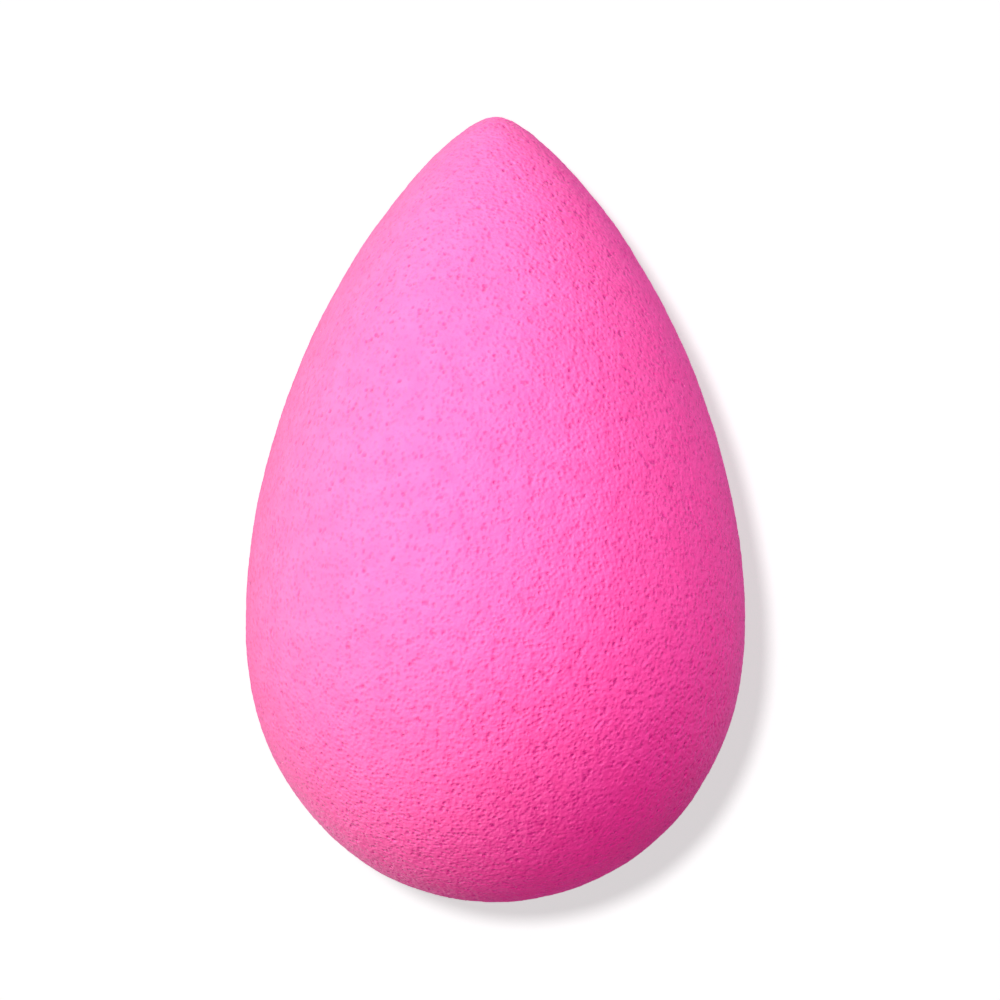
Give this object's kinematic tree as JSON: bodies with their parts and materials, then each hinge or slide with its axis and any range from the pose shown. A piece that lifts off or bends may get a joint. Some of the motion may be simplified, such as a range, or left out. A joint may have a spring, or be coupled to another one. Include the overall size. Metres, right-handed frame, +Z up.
{
  "type": "makeup sponge",
  "caption": "Teardrop foam makeup sponge with a rounded base and a soft point, for dabbing on and blending cosmetics.",
  "frame": {"origin": "on the rest flat, straight below the centre of mass of the sponge as it lies on its side", "axes": "+Z up, +Y towards the tip, +X to the right as seen from above with the tip away from the viewer"},
  "size_m": [0.04, 0.0631, 0.04],
  "materials": {
    "foam": "matte open-cell polyurethane foam, dyed pink throughout"
  },
  "bodies": {
    "root": {"sponge_body": "foam"}
  },
  "joints": []
}
